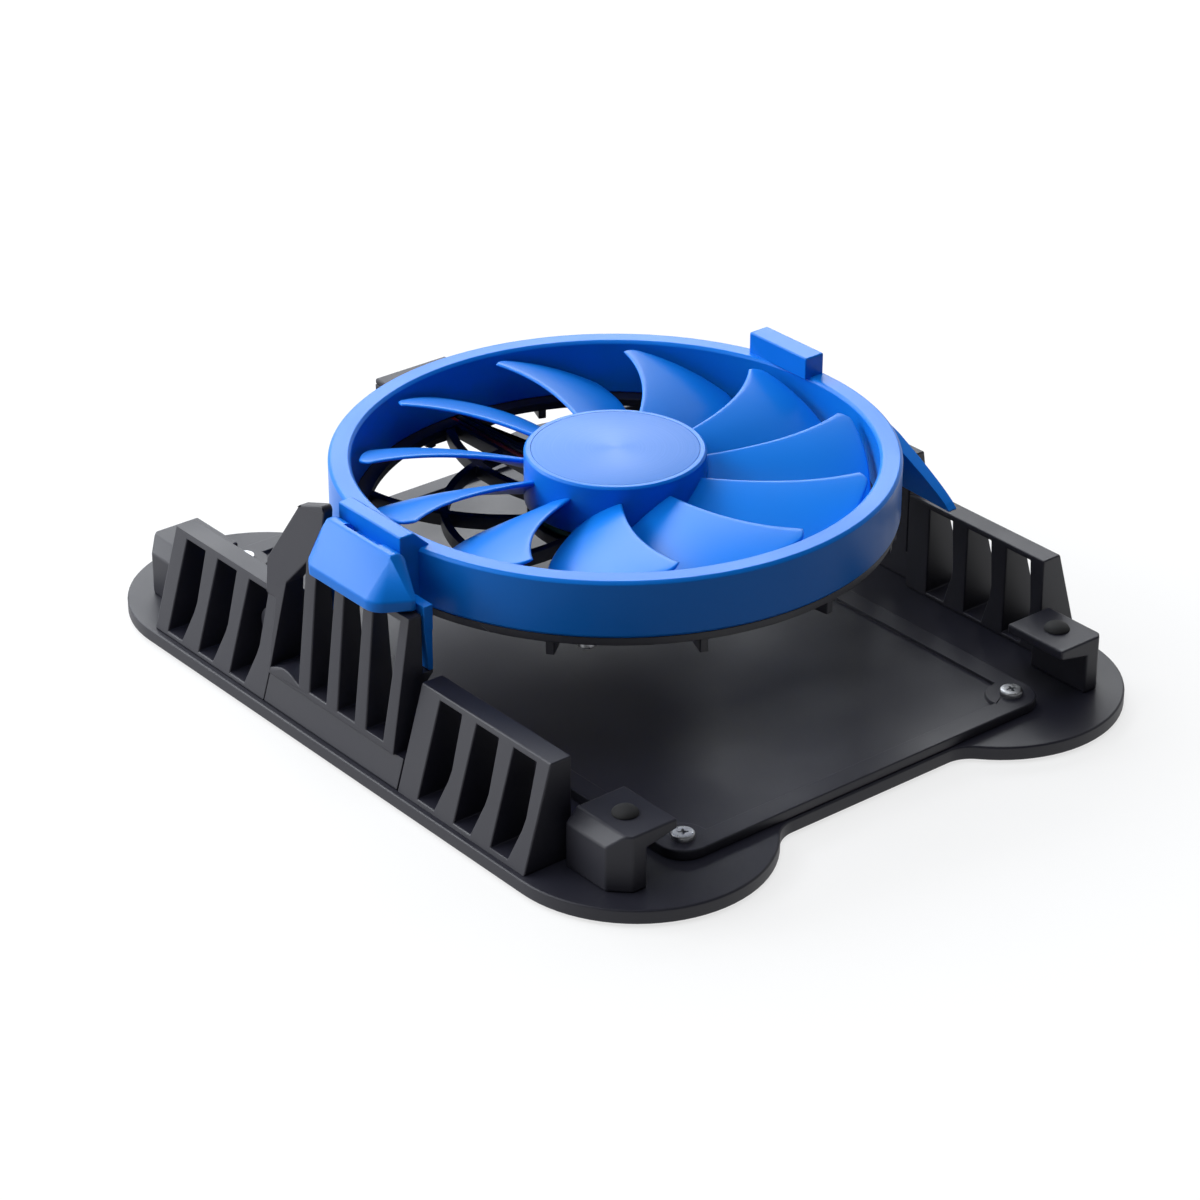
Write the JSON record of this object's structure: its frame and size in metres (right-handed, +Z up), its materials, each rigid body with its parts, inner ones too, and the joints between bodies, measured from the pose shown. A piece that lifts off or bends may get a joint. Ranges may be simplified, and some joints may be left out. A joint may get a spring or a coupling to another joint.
{
  "type": "phone cooling fan",
  "caption": "Louvred stand that holds a phone flat under a ring-shrouded axial fan. The ring hooks into the right upright, a hinged clip latches it to the left one, and a hub motor spins the swept blades.",
  "frame": {"origin": "on the resting surface, under the fan's axis, at the middle of the base", "axes": "+Z up along the fan's axis, +Y along the device that lies in the bay, towards the power inlet, +X across the stand"},
  "size_m": [0.1018, 0.1244, 0.0348],
  "materials": {
    "stand_plastic": "fine-grained matte black",
    "fan_plastic": "satin azure blue",
    "hub_disc": "spun satin blue",
    "soft_rubber": "matte",
    "screw_steel": "plain",
    "pin_steel": "ground",
    "motor_steel": "plain",
    "magnet_ferrite": "matte bonded ferrite",
    "white_plastic": "matte",
    "bearing_bronze": "sintered",
    "copper_wire": "enamelled",
    "board_laminate": "lacquered",
    "inlet_steel": "satin",
    "tongue_plastic": "matte",
    "lead_sleeve": "soft sleeve"
  },
  "bodies": {
    "stand": {"base_plate": "stand_plastic", "rubber_feet": "soft_rubber", "base_screws": "screw_steel", "support_tray": "stand_plastic", "tray_screws": "screw_steel", "left_front_louvre": "stand_plastic", "left_rear_louvre": "stand_plastic", "right_front_louvre": "stand_plastic", "right_rear_louvre": "stand_plastic", "left_upright": "stand_plastic", "right_upright": "stand_plastic", "left_front_post": "stand_plastic", "left_rear_post": "stand_plastic", "right_front_post": "stand_plastic", "right_rear_post": "stand_plastic", "rest_bumpers": "soft_rubber", "fan_ring": "fan_plastic", "left_hinge_pin": "pin_steel", "sleeve_bearing": "bearing_bronze", "thrust_pad": "white_plastic", "stator_core": "motor_steel", "stator_windings": "copper_wire", "motor_board": "board_laminate", "lower_grille": "stand_plastic", "fan_screws": "screw_steel", "power_inlet": "inlet_steel", "inlet_tongue": "tongue_plastic", "power_board": "board_laminate", "inlet_lid": "stand_plastic", "motor_leads": "lead_sleeve"},
    "rotor": {"impeller": "fan_plastic", "hub_cap": "hub_disc", "rotor_yoke": "motor_steel", "ring_magnet": "magnet_ferrite", "fan_shaft": "pin_steel", "shaft_clip": "white_plastic"},
    "left_latch": {"left_clip": "fan_plastic"}
  },
  "joints": [
    {"name": "impeller_spin", "type": "hinge", "parent": "stand", "child": "rotor", "pos_m": [0, 0, 0.027], "axis": [0, 0, 1], "continuous": true},
    {"name": "left_clip_hinge", "type": "hinge", "parent": "stand", "child": "left_latch", "pos_m": [-0.0442, 0, 0.0311], "axis": [0, 1, 0], "range_deg": [0, 80]}
  ]
}
